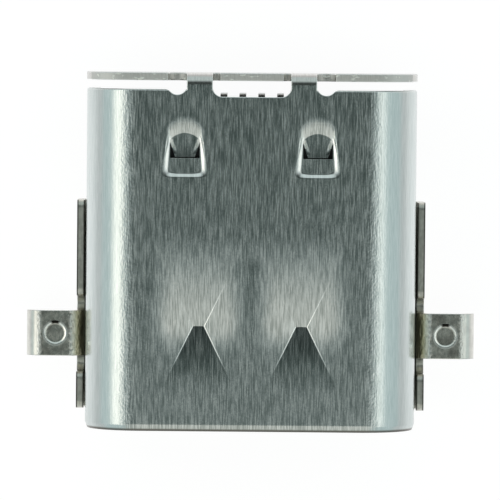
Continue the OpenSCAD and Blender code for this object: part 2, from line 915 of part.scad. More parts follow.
module housing() {
    color(black_plastic) difference() {
        union() {
            tongue_blade();
            tongue_base();
            housing_block();
        }
        translate([-carrier_half_w, carrier_y, 0])
            cube([2 * carrier_half_w, upper_carrier_end - carrier_y, carrier_h]);
        translate([-carrier_half_w, carrier_y, -carrier_h])
            cube([2 * carrier_half_w, lower_carrier_end - carrier_y, carrier_h]);
        latch_plate();
        upper_collar();
        lower_collar();
        for (i = [1:row_count]) {
            upper_contact(i);
            lower_contact(i);
        }
    }
}

shell();
bracket();
housing();
upper_carrier();
lower_carrier();
latch_plate();
upper_collar();
lower_collar();
for (i = [1:row_count]) {
    upper_contact(i);
    lower_contact(i);
}
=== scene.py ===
"""Mid-mount reversible-plug socket: brushed shell, rolled bracket, moulded tongue, plated contacts.

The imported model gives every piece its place. This script gives it its finishes, a floor, soft light
and a camera.
"""

import json
import math

import bmesh
import bpy
from mathutils import Matrix, Quaternion, Vector


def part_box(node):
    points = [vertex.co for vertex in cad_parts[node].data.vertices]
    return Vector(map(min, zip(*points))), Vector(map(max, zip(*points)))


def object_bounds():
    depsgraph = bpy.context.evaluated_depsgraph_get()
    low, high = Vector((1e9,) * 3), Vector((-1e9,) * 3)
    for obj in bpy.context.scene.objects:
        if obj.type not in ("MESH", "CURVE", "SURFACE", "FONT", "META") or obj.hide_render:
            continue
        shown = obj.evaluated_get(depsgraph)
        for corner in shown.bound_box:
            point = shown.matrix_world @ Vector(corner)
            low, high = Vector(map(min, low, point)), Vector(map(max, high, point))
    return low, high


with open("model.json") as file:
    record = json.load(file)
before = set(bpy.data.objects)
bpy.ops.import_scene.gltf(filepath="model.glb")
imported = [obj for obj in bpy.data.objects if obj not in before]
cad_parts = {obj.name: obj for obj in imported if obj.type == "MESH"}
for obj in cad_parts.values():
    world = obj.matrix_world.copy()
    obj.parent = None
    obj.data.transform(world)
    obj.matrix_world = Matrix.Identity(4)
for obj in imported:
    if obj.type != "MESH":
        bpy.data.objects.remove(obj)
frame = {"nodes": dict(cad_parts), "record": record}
cad_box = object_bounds()

MM = 0.001
NODES = frame["nodes"]

# All sizes below are in millimetres.

# The middle of the socket along Y
MIDDLE_Y = 5

# The shell: its sheet, the outside of its round ends, half of its flat top, the cover's front face, the
# height that no form pressed into its top reaches down to, and the sheared edge of its mouth
SHELL_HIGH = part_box("shell")[1] / MM
SHEET = 0.2
SKIN_R = SHELL_HIGH.z
FLAT_HALF = SHELL_HIGH.x - SKIN_R
COVER_FRONT = SHELL_HIGH.y - SHEET
FORMS_LOW = SKIN_R - 0.3
MOUTH_SHEAR = 0.06

# The plug-holding dents: middle of each ridge, its length and depth, and how far the dent reaches from it
# along Y and X
DENT_X = 1.355
DENT_Y = 2.77
RIDGE = 0.29
DENT_DEPTH = 0.133
DENT_REACH = 2.36
DENT_SIDE = 1.16

# Their creases: half of the width, half of the sharp middle, and the lean of the normal, which is below 0
# because it leans towards the ridge
CREASE_HALF = 0.027
CREASE_CORE = 0.008
CREASE_LEAN = -0.4

# The locking pockets: middle of each, its front and rear lines, and half of its width at both
POCKET_X = 1.75
POCKET_FRONT = 6.72
POCKET_REAR = 8.14
POCKET_HALF_FRONT = 0.57
POCKET_HALF_REAR = 0.42

# What the punch has drawn down there: the walls, and the ramp behind the tongue, with its two ends and how
# much sooner it rises at its sides
WALL_RELIEF = -0.075
RAMP_RELIEF = -0.05
RAMP_FRONT = POCKET_REAR - 0.29
RAMP_REAR = POCKET_REAR + 0.19
RAMP_ARCH = 1.1

# The tongue of a pocket: its tip, the end of its slits, half of its width at both, and its rolled edges
TONGUE_TIP = 7.22
SLITS_END = 7.6
TONGUE_HALF_TIP = 0.26
TONGUE_HALF = 0.39
ROLL_WIDTH = 0.11
ROLL_RELIEF = -0.03

# The bracket: its gap to the shell, the outer face of its wall, the width of the painted shade along its
# walls' tops, the outer radius of its ears' bends, half of an ear's width, and the height above which
# ears and walls' tops lie
BRACKET_GAP = 0.06
WALL_OUT = SHELL_HIGH.x + BRACKET_GAP + SHEET
WALL_EDGE_SHADE_WIDTH = 0.045
EAR_BEND = 0.43
EAR_HALF = 0.6
LEG_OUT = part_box("bracket")[1].x / MM
EARS_ABOVE = -1.0

# An ear's pressed disc: its middle, its rim, and the cone inside the rim
DISC_X = (WALL_OUT - SHEET + LEG_OUT) / 2
DISC_Y = 2.45
DISC_R = 0.305
CONE_WIDTH = 0.08
CONE_RELIEF = 0.028

# The contacts are tinned below the board's top, and behind the housing
BOARD_TOP = -0.65
HOUSING_REAR = 8.6


# ---- Helpers ----

def linear(hex_colour):
    """An sRGB hex colour as linear RGBA."""
    values = [int(hex_colour[k:k + 2], 16) / 255 for k in (1, 3, 5)]
    return [v / 12.92 if v <= 0.04045 else ((v + 0.055) / 1.055) ** 2.4 for v in values] + [1.0]


def add(tree, kind, inputs=None, **settings):
    """Adds a node with its settings. An input, by name or number, takes a value or a node's output."""
    node = tree.nodes.new("ShaderNode" + kind)
    for name, value in settings.items():
        setattr(node, name, value)
    for key, value in (inputs or {}).items():
        if isinstance(value, bpy.types.NodeSocket):
            tree.links.new(value, node.inputs[key])
        else:
            node.inputs[key].default_value = value
    return node


def new_material(name):
    """An empty material, its node tree, and the place of a point on the socket in millimetres."""
    material = bpy.data.materials.new(name)
    material.use_nodes = True
    tree = material.node_tree
    tree.nodes.clear()
    place = add(tree, "VectorMath", {0: add(tree, "TexCoord").outputs["Object"], "Scale": 1 / MM},
                operation="SCALE")
    return material, tree, place.outputs[0]


def grain(tree, place, size, detail=2.0, roughness=0.5, distortion=0.0, start=0.0):
    """Noise whose cells measure size millimetres along x, y and z."""
    cells = add(tree, "Mapping", {"Vector": place, "Location": (start, start, start),
                                  "Scale": [1 / s for s in size]})
    noise = add(tree, "TexNoise", {"Vector": cells.outputs[0], "Scale": 1.0, "Detail": detail,
                                   "Roughness": roughness, "Distortion": distortion})
    return noise.outputs["Fac"]


def shaded(tree, pattern, low, high, dark, light):
    """A colour that goes from dark to light as the pattern goes from low to high."""
    amount = add(tree, "MapRange", {0: pattern, 1: low, 2: high}, interpolation_type="SMOOTHSTEP")
    colour = add(tree, "Mix", {0: amount.outputs[0], 6: linear(dark), 7: linear(light)}, data_type="RGBA")
    return colour.outputs[2]


def rounded_edges(tree, radius):
    """The normal of edges broken to a radius in millimetres, and how much a point lies on such an edge."""
    broken = add(tree, "Bevel", {"Radius": radius * MM}, samples=8)
    plain = add(tree, "NewGeometry").outputs["Normal"]
    alike = add(tree, "VectorMath", {0: broken.outputs[0], 1: plain}, operation="DOT_PRODUCT")
    on_edge = add(tree, "MapRange", {0: alike.outputs["Value"], 1: 0.995, 2: 0.9},
                  interpolation_type="SMOOTHSTEP")
    return broken.outputs[0], on_edge.outputs[0]


def tangent(degrees):
    """How far a line at this angle from straight above leans aside for each unit that it rises."""
    return math.tan(math.radians(degrees))


# ---- Materials ----

def brushing(tree, place):
    """Brush marks along Y: fine and broad streaks mixed, and the hairlines among them, each from 0 to 1.

    Real grit lines are about 0.01 mm wide. These are 0.03 mm and more, as coarse as they need to show.
    """
    fine = grain(tree, place, (0.032, 0.5, 0.032), detail=3.0, roughness=0.6)
    broad = grain(tree, place, (0.11, 1.9, 0.11), detail=2.0, start=7.3)
    part = add(tree, "Mix", {0: 0.2, 2: fine, 3: broad})
    hair = grain(tree, place, (0.028, 0.6, 0.028), detail=1.0, start=12.9)
    hairline = add(tree, "MapRange", {0: hair, 1: 0.62, 2: 0.72}, interpolation_type="SMOOTHSTEP")
    return part.outputs[0], hairline.outputs[0]


def dent_slope(tree, from_ridge, along, beyond, way):
    """How steeply a dent's sheet rises along X and Y: from the ridge, in an arc on all four sides.

    The die has dragged the sheet down beside the ridge too, as steeply as behind it, so the light behind
    the ridge fades softly on every side.
    """
    beside = add(tree, "Math", {0: from_ridge}, operation="ABSOLUTE")
    steepest = 2 * DENT_DEPTH / DENT_REACH
    front_rise = add(tree, "MapRange", {0: along, 1: -0.75 * DENT_REACH, 2: 0, 3: 0, 4: steepest},
                     interpolation_type="SMOOTHSTEP")
    rear_rise = add(tree, "MapRange", {0: along, 1: DENT_REACH, 2: 0, 3: 0, 4: steepest})
    rise = add(tree, "Math", {0: front_rise.outputs[0], 1: rear_rise.outputs[0]}, operation="MINIMUM")
    rearward = add(tree, "Math", {0: along}, operation="SIGN")
    behind = add(tree, "MapRange", {0: along, 1: -1.0, 2: 0.3}, interpolation_type="SMOOTHSTEP")
    near = add(tree, "MapRange", {0: beside.outputs[0], 1: 1.4, 2: 0.6}, interpolation_type="SMOOTHSTEP")
    drag = add(tree, "Math", {0: behind.outputs[0], 1: near.outputs[0]}, operation="MULTIPLY")
    share = add(tree, "Mix", {0: beyond, 2: rearward.outputs[0], 3: drag.outputs[0]})
    lengthwise = add(tree, "Math", {0: rise.outputs[0], 1: share.outputs[0]}, operation="MULTIPLY")

    over = add(tree, "Math", {0: beside.outputs[0], 1: RIDGE / 2}, operation="SUBTRACT")
    side_rise = add(tree, "MapRange", {0: over.outputs[0], 1: 0, 2: DENT_SIDE,
                                       3: 2 * DENT_DEPTH / DENT_SIDE, 4: 0})
    side_share = add(tree, "Math", {0: way, 1: beyond}, operation="MULTIPLY")
    sideways = add(tree, "Math", {0: side_rise.outputs[0], 1: side_share.outputs[0]}, operation="MULTIPLY")
    away = add(tree, "Math", {0: along}, operation="ABSOLUTE")
    fade = add(tree, "MapRange", {0: away.outputs[0], 1: DENT_REACH, 2: 0.0})
    sideways = add(tree, "Math", {0: sideways.outputs[0], 1: fade.outputs[0]}, operation="MULTIPLY")
    slope = add(tree, "CombineXYZ", {"X": sideways.outputs[0], "Y": lengthwise.outputs[0]})
    return slope.outputs[0]


def dent_creases(tree, off, along, way):
    """The creases that leave the ends of a ridge. All but the left rear one are sharp."""
    off_line = add(tree, "Math", {0: off}, operation="ABSOLUTE")
    line = add(tree, "MapRange", {0: off_line.outputs[0], 1: CREASE_HALF, 2: CREASE_CORE},
               interpolation_type="SMOOTHSTEP")
    away = add(tree, "Math", {0: along}, operation="ABSOLUTE")
    reach = add(tree, "MapRange", {0: away.outputs[0], 1: 1.5, 2: 0.7}, interpolation_type="SMOOTHSTEP")
    crease = add(tree, "Math", {0: line.outputs[0], 1: reach.outputs[0]}, operation="MULTIPLY")
    rearward = add(tree, "Math", {0: along}, operation="SIGN")
    corner = add(tree, "Math", {0: way, 1: rearward.outputs[0]}, operation="SUBTRACT")
    sharp = add(tree, "MapRange", {0: corner.outputs[0], 1: -2, 2: 0, 3: 0.2, 4: 0.6})
    crease = add(tree, "Math", {0: crease.outputs[0], 1: sharp.outputs[0]}, operation="MULTIPLY")
    return crease.outputs[0]


def dents(tree, at, edges):
    """The normal round the dents, and how much a point lies on a crease, which is painted as a highlight."""
    # How far a point is beside its ridge and along from it, and whether it is in a side part of the dent
    aside = add(tree, "Math", {0: at.outputs["X"]}, operation="ABSOLUTE")
    from_ridge = add(tree, "Math", {0: aside.outputs[0], 1: DENT_X}, operation="SUBTRACT")
    beside = add(tree, "Math", {0: from_ridge.outputs[0]}, operation="ABSOLUTE")
    over = add(tree, "Math", {0: beside.outputs[0], 1: RIDGE / 2}, operation="SUBTRACT")
    along = add(tree, "Math", {0: at.outputs["Y"], 1: DENT_Y}, operation="SUBTRACT")
    away = add(tree, "Math", {0: along.outputs[0]}, operation="ABSOLUTE")
    off = add(tree, "Math", {0: away.outputs[0], 1: -DENT_SIDE / DENT_REACH, 2: over.outputs[0]},
              operation="MULTIPLY_ADD")
    beyond = add(tree, "MapRange", {0: off.outputs[0], 1: -0.01, 2: 0.01})

    # Which way is away from the ridge: 1 to its right and -1 to its left
    outward = add(tree, "Math", {0: from_ridge.outputs[0]}, operation="SIGN")
    half = add(tree, "Math", {0: at.outputs["X"]}, operation="SIGN")
    way = add(tree, "Math", {0: outward.outputs[0], 1: half.outputs[0]}, operation="MULTIPLY")

    # The arc's normal, for the upper dents and the lower ones
    slope = dent_slope(tree, from_ridge.outputs[0], along.outputs[0], beyond.outputs[0], way.outputs[0])
    upper = add(tree, "Math", {0: at.outputs["Z"]}, operation="SIGN")
    up = add(tree, "CombineXYZ", {"Z": upper.outputs[0]})
    arc = add(tree, "VectorMath", {0: up.outputs[0], 1: slope}, operation="SUBTRACT")
    arc = add(tree, "VectorTransform", {0: arc.outputs[0]}, vector_type="NORMAL", convert_from="OBJECT",
              convert_to="WORLD")

    # It holds inside the dent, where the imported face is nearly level
    facing = add(tree, "SeparateXYZ", {0: add(tree, "TexCoord").outputs["Normal"]})
    outside = add(tree, "Math", {0: facing.outputs["Z"], 1: upper.outputs[0]}, operation="MULTIPLY")
    level = add(tree, "MapRange", {0: outside.outputs[0], 1: 0.94, 2: 0.96})
    inside_x = add(tree, "MapRange", {0: beside.outputs[0], 1: DENT_SIDE + RIDGE / 2, 2: DENT_SIDE})
    inside_y = add(tree, "MapRange", {0: away.outputs[0], 1: DENT_REACH + 0.1, 2: DENT_REACH})
    zone = add(tree, "Math", {0: inside_x.outputs[0], 1: inside_y.outputs[0]}, operation="MULTIPLY")
    zone = add(tree, "Math", {0: zone.outputs[0], 1: level.outputs[0]}, operation="MULTIPLY")
    normal = add(tree, "Mix", {0: zone.outputs[0], 4: edges, 5: arc.outputs[0]}, data_type="VECTOR")

    # The creases lean the normal towards the ridge
    crease = dent_creases(tree, off.outputs[0], along.outputs[0], way.outputs[0])
    crease = add(tree, "Math", {0: crease, 1: zone.outputs[0]}, operation="MULTIPLY")
    lean = add(tree, "Math", {0: way.outputs[0], 1: crease.outputs[0]}, operation="MULTIPLY")
    lean = add(tree, "Math", {0: lean.outputs[0], 1: CREASE_LEAN}, operation="MULTIPLY")
    flank = add(tree, "CombineXYZ", {"X": lean.outputs[0]})
    flank = add(tree, "VectorTransform", {0: flank.outputs[0]}, vector_type="VECTOR", convert_from="OBJECT",
                convert_to="WORLD")
    normal = add(tree, "VectorMath", {0: normal.outputs[1], 1: flank.outputs[0]})
    normal = add(tree, "VectorMath", {0: normal.outputs[0]}, operation="NORMALIZE")
    return normal.outputs[0], crease.outputs[0]


def pocket_walls(tree, at, beside):
    """How far a point is down a pocket's side and front walls, from 0 at the rim to 1 at the foot."""
    half = add(tree, "MapRange", {0: at.outputs["Y"], 1: POCKET_FRONT, 2: POCKET_REAR, 3: POCKET_HALF_FRONT,
                                  4: POCKET_HALF_REAR})
    from_rim = add(tree, "Math", {0: half.outputs[0], 1: beside}, operation="SUBTRACT")
    narrow = add(tree, "MapRange", {0: at.outputs["Y"], 1: POCKET_FRONT, 2: SLITS_END, 3: 0.21, 4: 0.13})
    widen = add(tree, "MapRange", {0: at.outputs["Y"], 1: SLITS_END, 2: POCKET_REAR - 0.1, 3: 0.0, 4: 0.22})
    wall = add(tree, "Math", {0: narrow.outputs[0], 1: widen.outputs[0]})
    from_side = add(tree, "Math", {0: from_rim.outputs[0], 1: wall.outputs[0]}, operation="DIVIDE")
    from_front = add(tree, "MapRange", {0: at.outputs["Y"], 1: POCKET_FRONT - 0.01, 2: POCKET_FRONT + 0.1},
                     clamp=False)
    within = add(tree, "Math", {0: from_side.outputs[0], 1: from_front.outputs[0], 2: 2.0},
                 operation="SMOOTH_MIN")
    return within.outputs[0]


def pocket_bowl(tree, at, beside, within):
    """A pocket's relief in millimetres: the walls, and the ramp, which rises in an arch and meets them."""
    walls = add(tree, "MapRange", {0: within, 1: 1.15, 2: -0.3, 3: WALL_RELIEF, 4: 0.0},
                interpolation_type="SMOOTHSTEP")
    squared = add(tree, "Math", {0: beside, 1: 2.0}, operation="POWER")
    arch = add(tree, "Math", {0: squared.outputs[0], 1: RAMP_ARCH, 2: at.outputs["Y"]},
               operation="MULTIPLY_ADD")
    below = add(tree, "MapRange", {0: arch.outputs[0], 1: RAMP_FRONT, 2: RAMP_REAR, 3: 1.0, 4: 0.0})
    eased = add(tree, "Math", {0: below.outputs[0], 1: 2.0}, operation="POWER")
    ramp = add(tree, "Math", {0: eased.outputs[0], 1: RAMP_RELIEF}, operation="MULTIPLY")
    bowl = add(tree, "Math", {0: walls.outputs[0], 1: ramp.outputs[0], 2: 0.016}, operation="SMOOTH_MAX")
    bowl = add(tree, "Math", {0: bowl.outputs[0], 1: 0.0}, operation="MINIMUM")
    return bowl.outputs[0]


def tongue_roll(tree, at, beside):
    """The relief of a tongue's long edges in millimetres, and whether a point lies on the tongue."""
    tongue = add(tree, "MapRange", {0: at.outputs["Y"], 1: TONGUE_TIP, 2: SLITS_END, 3: TONGUE_HALF_TIP,
                                    4: TONGUE_HALF})
    from_slit = add(tree, "Math", {0: tongue.outputs[0], 1: beside}, operation="SUBTRACT")
    roll = add(tree, "MapRange", {0: from_slit.outputs[0], 1: 0.0, 2: ROLL_WIDTH, 3: ROLL_RELIEF, 4: 0.0},
               interpolation_type="SMOOTHSTEP")
    behind_tip = add(tree, "MapRange", {0: at.outputs["Y"], 1: TONGUE_TIP + 0.08, 2: TONGUE_TIP + 0.24})
    before_end = add(tree, "MapRange", {0: at.outputs["Y"], 1: SLITS_END + 0.08, 2: SLITS_END - 0.04})
    along_slit = add(tree, "Math", {0: behind_tip.outputs[0], 1: before_end.outputs[0]},
                     operation="MULTIPLY")
    on_tongue = add(tree, "Math", {0: from_slit.outputs[0], 1: 0.0}, operation="GREATER_THAN")
    along_slit = add(tree, "Math", {0: along_slit.outputs[0], 1: on_tongue.outputs[0]},
                     operation="MULTIPLY")
    rolled = add(tree, "Math", {0: roll.outputs[0], 1: along_slit.outputs[0]}, operation="MULTIPLY")
    return rolled.outputs[0], on_tongue.outputs[0]


def pockets(tree, at, normal):
    """The pockets: normal before relief, relief in millimetres, bright walls, the tongue's painted shadow.

    The punch has drawn each wall over in one soft curve from rim to floor. Each wall is burnished, and
    also painted bright as a highlight. The tongue's long edges are rolled over, and its tip takes a
    painted shadow.
    """
    aside = add(tree, "Math", {0: at.outputs["X"]}, operation="ABSOLUTE")
    beside = add(tree, "Math", {0: aside.outputs[0], 1: POCKET_X}, operation="SUBTRACT")
    beside = add(tree, "Math", {0: beside.outputs[0]}, operation="ABSOLUTE").outputs[0]
    within = pocket_walls(tree, at, beside)
    bowl = pocket_bowl(tree, at, beside, within)
    rolled, on_tongue = tongue_roll(tree, at, beside)
    relief = add(tree, "Math", {0: bowl, 1: rolled})

    # All this holds inside the rim, on the upper side of the top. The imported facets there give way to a
    # level face, which the relief then shapes
    top = add(tree, "MapRange", {0: at.outputs["Z"], 1: FORMS_LOW, 2: FORMS_LOW + 0.01})
    facing = add(tree, "SeparateXYZ", {0: add(tree, "TexCoord").outputs["Normal"]})
    upward = add(tree, "Math", {0: facing.outputs["Z"], 1: 0.3}, operation="GREATER_THAN")
    begins = add(tree, "MapRange", {0: within, 1: -0.4, 2: -0.3})
    ends = add(tree, "MapRange", {0: at.outputs["Y"], 1: RAMP_REAR + 0.03, 2: RAMP_REAR})
    zone = add(tree, "Math", {0: begins.outputs[0], 1: top.outputs[0]}, operation="MULTIPLY")
    zone = add(tree, "Math", {0: zone.outputs[0], 1: ends.outputs[0]}, operation="MULTIPLY")
    zone = add(tree, "Math", {0: zone.outputs[0], 1: upward.outputs[0]}, operation="MULTIPLY")
    up = add(tree, "VectorTransform", {0: (0, 0, 1)}, vector_type="NORMAL", convert_from="OBJECT",
             convert_to="WORLD")
    base = add(tree, "Mix", {0: zone.outputs[0], 4: normal, 5: up.outputs[0]}, data_type="VECTOR")

    # The walls' burnish and painted highlight, which fade beside the tongue's root
    rim = add(tree, "MapRange", {0: within, 1: -0.2, 2: 0.25}, interpolation_type="SMOOTHSTEP")
    foot = add(tree, "MapRange", {0: within, 1: 1.1, 2: 0.7, 4: 0.75}, interpolation_type="SMOOTHSTEP")
    ahead = add(tree, "MapRange", {0: at.outputs["Y"], 1: POCKET_REAR - 0.1, 2: SLITS_END})
    burnish_and_highlight = add(tree, "Math", {0: rim.outputs[0], 1: foot.outputs[0]}, operation="MULTIPLY")
    burnish_and_highlight = add(tree, "Math", {0: burnish_and_highlight.outputs[0], 1: ahead.outputs[0]}, operation="MULTIPLY")
    burnish_and_highlight = add(tree, "Math", {0: burnish_and_highlight.outputs[0], 1: zone.outputs[0]}, operation="MULTIPLY")

    # The shadow on the tongue, darkest at its tip
    tip = add(tree, "MapRange", {0: at.outputs["Y"], 1: SLITS_END, 2: TONGUE_TIP})
    begins = add(tree, "MapRange", {0: at.outputs["Y"], 1: TONGUE_TIP - 0.02, 2: TONGUE_TIP})
    shadow = add(tree, "Math", {0: tip.outputs[0], 1: begins.outputs[0]}, operation="MULTIPLY")
    shadow = add(tree, "Math", {0: shadow.outputs[0], 1: on_tongue}, operation="MULTIPLY")
    shadow = add(tree, "Math", {0: shadow.outputs[0], 1: zone.outputs[0]}, operation="MULTIPLY")
    return base.outputs[1], relief.outputs[0], burnish_and_highlight.outputs[0], shadow.outputs[0]


def unfolded(tree, at, bent):
    """The place of a point on the strip before it was folded.

    So the brush marks run on round the cover's bend, and the slopes of pressed forms leave them as they are.
    """
    drop = add(tree, "Math", {0: bent, 1: at.outputs["Z"]}, operation="MULTIPLY")
    length = add(tree, "Math", {0: at.outputs["Y"], 1: drop.outputs[0]}, operation="SUBTRACT")
    height = add(tree, "Math", {0: at.outputs["Z"], 1: drop.outputs[0]}, operation="SUBTRACT")
    height = add(tree, "Math", {0: height.outputs[0], 1: FORMS_LOW}, operation="MINIMUM")
    strip = add(tree, "CombineXYZ", {"X": at.outputs["X"], "Y": length.outputs[0], "Z": height.outputs[0]})
    return strip.outputs[0]


def cover_edge(tree, at, place):
    """The cover's sheared top edge, and specks of burr torn out of it, which are bumped and painted as
    glints.
    """
    behind = add(tree, "Math", {0: at.outputs["Y"], 1: COVER_FRONT - 0.01}, operation="GREATER_THAN")
    facing = add(tree, "SeparateXYZ", {0: add(tree, "TexCoord").outputs["Normal"]})
    level = add(tree, "Math", {0: facing.outputs["Z"], 1: 0.5}, operation="GREATER_THAN")
    low = add(tree, "Math", {0: at.outputs["Z"], 1: SKIN_R - 0.17}, operation="LESS_THAN")
    upper = add(tree, "Math", {0: behind.outputs[0], 1: level.outputs[0]}, operation="MULTIPLY")
    sheared = add(tree, "Math", {0: upper.outputs[0], 1: low.outputs[0]}, operation="MULTIPLY")
    # Specks of burr, which are bumped, and painted bright as glints
    edge_glint_and_shade = grain(tree, place, (0.22, 0.11, 0.11), detail=2.0, start=17.3)
    burr_and_glint = add(tree, "MapRange", {0: edge_glint_and_shade, 1: 0.58, 2: 0.66}, interpolation_type="SMOOTHSTEP")
    burr_and_glint = add(tree, "Math", {0: burr_and_glint.outputs[0], 1: sheared.outputs[0]}, operation="MULTIPLY")
    return sheared.outputs[0], burr_and_glint.outputs[0]


def shell_colour(tree, at, streak, flat, bent, bright, in_shadow, burr_and_glint):
    """Streaky flats, even ends, a greyer cover bend, bright wear and painted highlights, painted shade
    on the mouth edge and the tongue, and painted glints on the burr.
    """
    brushed = shaded(tree, streak, 0.36, 0.64, "#b4bab7", "#f2f5f3")
    smooth = shaded(tree, streak, 0.3, 0.7, "#d1dad9", "#e1e8e7")
    steel = add(tree, "Mix", {0: flat, 6: smooth, 7: brushed}, data_type="RGBA")
    even = add(tree, "Math", {0: bent, 1: 0.75}, operation="MULTIPLY")
    # A painted shade on the mouth's sheared edge
    painted_mouth_shade = add(tree, "MapRange", {0: at.outputs["Y"], 1: MOUTH_SHEAR + 0.025, 2: MOUTH_SHEAR - 0.025},
                interpolation_type="SMOOTHSTEP")
    shade = add(tree, "Math", {0: in_shadow, 1: 0.6}, operation="MULTIPLY")
    layers = [(even.outputs[0], "#dfdcd8"), (bright, "#fbfcfa"), (painted_mouth_shade.outputs[0], "#7d7b76"),
              (shade.outputs[0], "#6a7270"), (burr_and_glint, "#fdfdf6")]
    for cover, colour in layers:
        steel = add(tree, "Mix", {0: cover, 6: steel.outputs[2], 7: linear(colour)}, data_type="RGBA")
    return steel.outputs[2]


def shell_relief(tree, aside, strip, streak, bent, pocket_relief, burr_and_glint, normal):
    """The normal with its relief: pockets, brush marks, orange peel where the flats bend, and burr."""
    stretched = add(tree, "Mix", {0: bent, 2: 1.0, 3: 0.06})
    outer = add(tree, "MapRange", {0: aside, 1: FLAT_HALF + 0.75, 2: FLAT_HALF + 0.5},
                interpolation_type="SMOOTHSTEP")
    inner = add(tree, "MapRange", {0: aside, 1: FLAT_HALF + 0.1, 2: FLAT_HALF + 0.4},
                interpolation_type="SMOOTHSTEP")
    bend = add(tree, "Math", {0: outer.outputs[0], 1: inner.outputs[0]}, operation="MULTIPLY")
    peel = add(tree, "MapRange", {0: bend.outputs[0], 3: 0.0012, 4: 0.006})
    speck = grain(tree, strip, (0.05, 0.08, 0.05), detail=2.0, start=3.1)
    pitted = add(tree, "Math", {0: speck, 1: peel.outputs[0]}, operation="MULTIPLY")
    pitted = add(tree, "Math", {0: pitted.outputs[0], 1: stretched.outputs[0]}, operation="MULTIPLY")
    layers = [(pocket_relief, 1.0, MM), (streak, stretched.outputs[0], 0.001 * MM),
              (pitted.outputs[0], 1.0, MM), (burr_and_glint, 1.0, 0.012 * MM)]
    for height, strength, distance in layers:
        bump = add(tree, "Bump", {"Height": height, "Strength": strength, "Distance": distance,
                                  "Normal": normal})
        normal = bump.outputs[0]
    return normal


def brushed_stainless():
    """Austenitic stainless strip, brushed along the plug's direction before it was folded.

    The eye sees broken pale and dark streaks along Y on the flats, smoother round ends where the die has
    burnished them, bright worn rounded edges, creases with a painted highlight, pocket walls that are
    burnished and painted as a highlight, a fine orange peel where the sheet bends into its ends, a painted
    shade on the mouth edge and the tongue's tip, and a matt sheared edge on the rear cover with specks of
    burr painted bright as glints.
    """
    material, tree, place = new_material("brushed_stainless_strip")
    at = add(tree, "SeparateXYZ", {0: place})
    bent = add(tree, "Math", {0: at.outputs["Y"], 1: COVER_FRONT - 0.1}, operation="GREATER_THAN")
    bent = bent.outputs[0]
    strip = unfolded(tree, at, bent)
    streak, hairline = brushing(tree, strip)
    edges, on_edge = rounded_edges(tree, 0.05)
    formed, creased = dents(tree, at, edges)
    formed, pocket_relief, burnish_and_highlight, in_shadow = pockets(tree, at, formed)
    sheared, burr_and_glint = cover_edge(tree, at, place)

    # The flats and their hairlines, and everything painted bright: worn edges, painted highlights on the
    # creases, and pocket walls that are burnished and painted as a highlight
    aside = add(tree, "Math", {0: at.outputs["X"]}, operation="ABSOLUTE").outputs[0]
    flat = add(tree, "MapRange", {0: aside, 1: FLAT_HALF + 0.75, 2: FLAT_HALF + 0.15},
               interpolation_type="SMOOTHSTEP")
    flat = flat.outputs[0]
    along_flat = add(tree, "Math", {0: flat, 1: bent}, operation="SUBTRACT", use_clamp=True)
    scratched = add(tree, "Math", {0: hairline, 1: along_flat.outputs[0]}, operation="MULTIPLY")
    worn = add(tree, "Math", {0: on_edge, 1: creased}, operation="MAXIMUM")
    worn = add(tree, "Math", {0: worn.outputs[0], 1: burnish_and_highlight}, operation="MAXIMUM")
    bright = add(tree, "Math", {0: worn.outputs[0], 1: scratched.outputs[0]}, operation="MAXIMUM")

    rough_flat = add(tree, "MapRange", {0: streak, 1: 0.35, 2: 0.65, 3: 0.13, 4: 0.27})
    rough = add(tree, "Mix", {0: along_flat.outputs[0], 2: 0.2, 3: rough_flat.outputs[0]})
    roughness = add(tree, "Mix", {0: sheared, 2: rough.outputs[0], 3: 0.5})
    across = add(tree, "Tangent", direction_type="RADIAL", axis="Y")
    steel = add(tree, "BsdfPrincipled", {
        "Base Color": shell_colour(tree, at, streak, flat, bent, bright.outputs[0], in_shadow, burr_and_glint),
        "Roughness": roughness.outputs[0],
        "Normal": shell_relief(tree, aside, strip, streak, bent, pocket_relief, burr_and_glint, formed),
        "Tangent": across.outputs[0], "Metallic": 1.0, "Anisotropic": 0.6})
    add(tree, "OutputMaterial", {"Surface": steel.outputs[0]})
    return material


def rolled_stainless(name, dark, light, smooth, rough):
    """Rolled stainless sheet, formed in a progressive die: faint rolling lines, scuffs and stains."""
    material, tree, place = new_material(name)
    lines = grain(tree, place, (0.06, 0.6, 0.06), detail=3.0, start=1.7)
    scuff = grain(tree, place, (0.06, 0.09, 0.06), detail=3.0, roughness=0.65, start=5.2)
    stain = grain(tree, place, (0.4, 0.3, 0.4), detail=2.0, start=8.8)
    mixed = add(tree, "Mix", {0: 0.5, 2: lines, 3: scuff})
    edges, on_edge = rounded_edges(tree, 0.035)
    clean = shaded(tree, mixed.outputs[0], 0.38, 0.62, dark, light)
    stained = add(tree, "MapRange", {0: stain, 1: 0.5, 2: 0.68, 3: 0.0, 4: 0.35},
                  interpolation_type="SMOOTHSTEP")
    marked = add(tree, "Mix", {0: stained.outputs[0], 6: clean, 7: linear("#6f6a60")}, data_type="RGBA")
    colour = add(tree, "Mix", {0: on_edge, 6: marked.outputs[2], 7: linear("#f4f4f0")}, data_type="RGBA")
    roughness = add(tree, "MapRange", {0: scuff, 1: 0.35, 2: 0.65, 3: smooth, 4: rough})
    normal = add(tree, "Bump", {"Height": mixed.outputs[0], "Strength": 1.0, "Distance": 0.004 * MM,
                                "Normal": edges})
    metal = add(tree, "BsdfPrincipled", {
        "Base Color": colour.outputs[2], "Roughness": roughness.outputs[0], "Normal": normal.outputs[0],
        "Metallic": 1.0})
    add(tree, "OutputMaterial", {"Surface": metal.outputs[0]})
    return material


